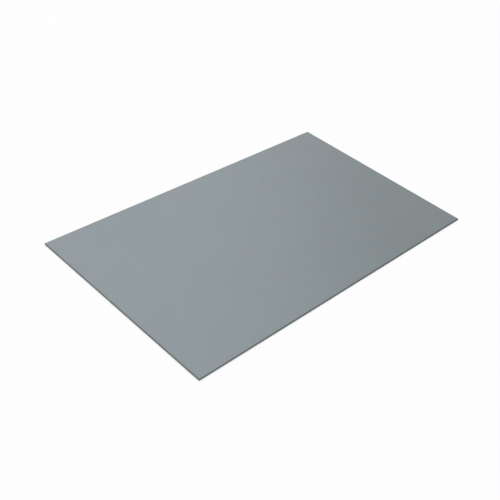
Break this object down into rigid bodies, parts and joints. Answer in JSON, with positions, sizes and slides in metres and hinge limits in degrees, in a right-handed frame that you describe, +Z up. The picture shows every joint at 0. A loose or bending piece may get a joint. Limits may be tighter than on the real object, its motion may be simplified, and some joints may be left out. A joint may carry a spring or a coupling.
{
  "type": "flat galvanized steel sheet",
  "caption": "Flat rectangular sheet of galvanized steel with square corners and guillotine-cut edges, for cutting, folding, drilling or cladding.",
  "frame": {"origin": "middle of the underside, which lies on the floor", "axes": "+X along the length, +Y along the width, +Z up through the thickness to the top face"},
  "size_m": [0.5, 0.3, 0.0025],
  "materials": {
    "galvanized_steel": "satin"
  },
  "bodies": {
    "root": {"sheet": "galvanized_steel"}
  },
  "joints": []
}
